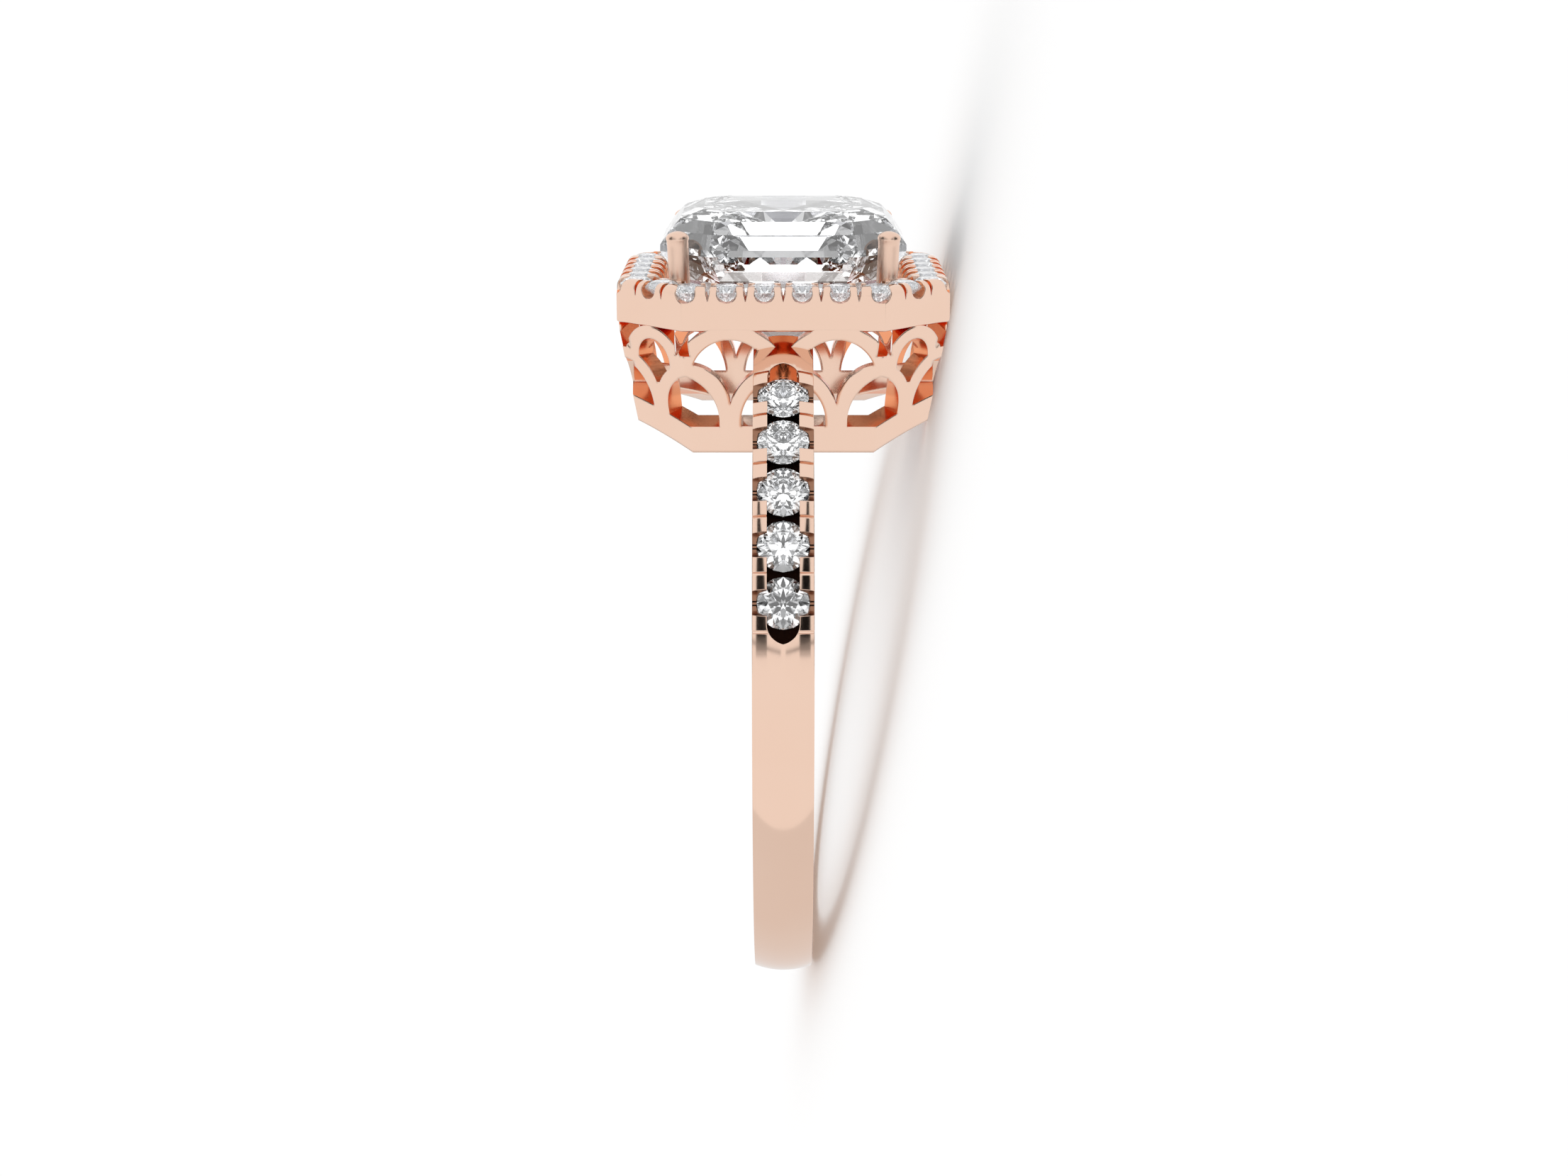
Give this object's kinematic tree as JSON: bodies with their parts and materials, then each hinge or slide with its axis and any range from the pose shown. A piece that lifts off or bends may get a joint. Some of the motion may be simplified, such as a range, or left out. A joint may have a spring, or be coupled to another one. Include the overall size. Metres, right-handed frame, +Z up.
{
  "type": "halo engagement ring",
  "caption": "Ring lying on its side: square step-cut stone in four prongs, a halo of small stones, a gallery pierced with arches, and small stones set in the shoulders.",
  "frame": {"origin": "middle of the footprint, on the surface that the ring lies on", "axes": "+X from the foot of the shank towards the centre stone, +Y across the finger hole from the shoulder seen in front to the one behind, +Z up"},
  "size_m": [0.0238, 0.0214, 0.0097],
  "materials": {
    "rose_gold": "polished",
    "diamond": "polished"
  },
  "bodies": {
    "root": {"ring_mount": "rose_gold", "centre_stone": "diamond", "halo_stone_1": "diamond", "halo_stone_2": "diamond", "halo_stone_3": "diamond", "halo_stone_4": "diamond", "halo_stone_5": "diamond", "halo_stone_6": "diamond", "halo_stone_7": "diamond", "halo_stone_8": "diamond", "halo_stone_9": "diamond", "halo_stone_10": "diamond", "halo_stone_11": "diamond", "halo_stone_12": "diamond", "halo_stone_13": "diamond", "halo_stone_14": "diamond", "halo_stone_15": "diamond", "halo_stone_16": "diamond", "halo_stone_17": "diamond", "halo_stone_18": "diamond", "halo_stone_19": "diamond", "halo_stone_20": "diamond", "halo_stone_21": "diamond", "halo_stone_22": "diamond", "halo_stone_23": "diamond", "halo_stone_24": "diamond", "halo_stone_25": "diamond", "halo_stone_26": "diamond", "halo_stone_27": "diamond", "halo_stone_28": "diamond", "shank_stone_1": "diamond", "shank_stone_2": "diamond", "shank_stone_3": "diamond", "shank_stone_4": "diamond", "shank_stone_5": "diamond", "shank_stone_6": "diamond", "shank_stone_7": "diamond", "shank_stone_8": "diamond", "shank_stone_9": "diamond", "shank_stone_10": "diamond"}
  },
  "joints": []
}
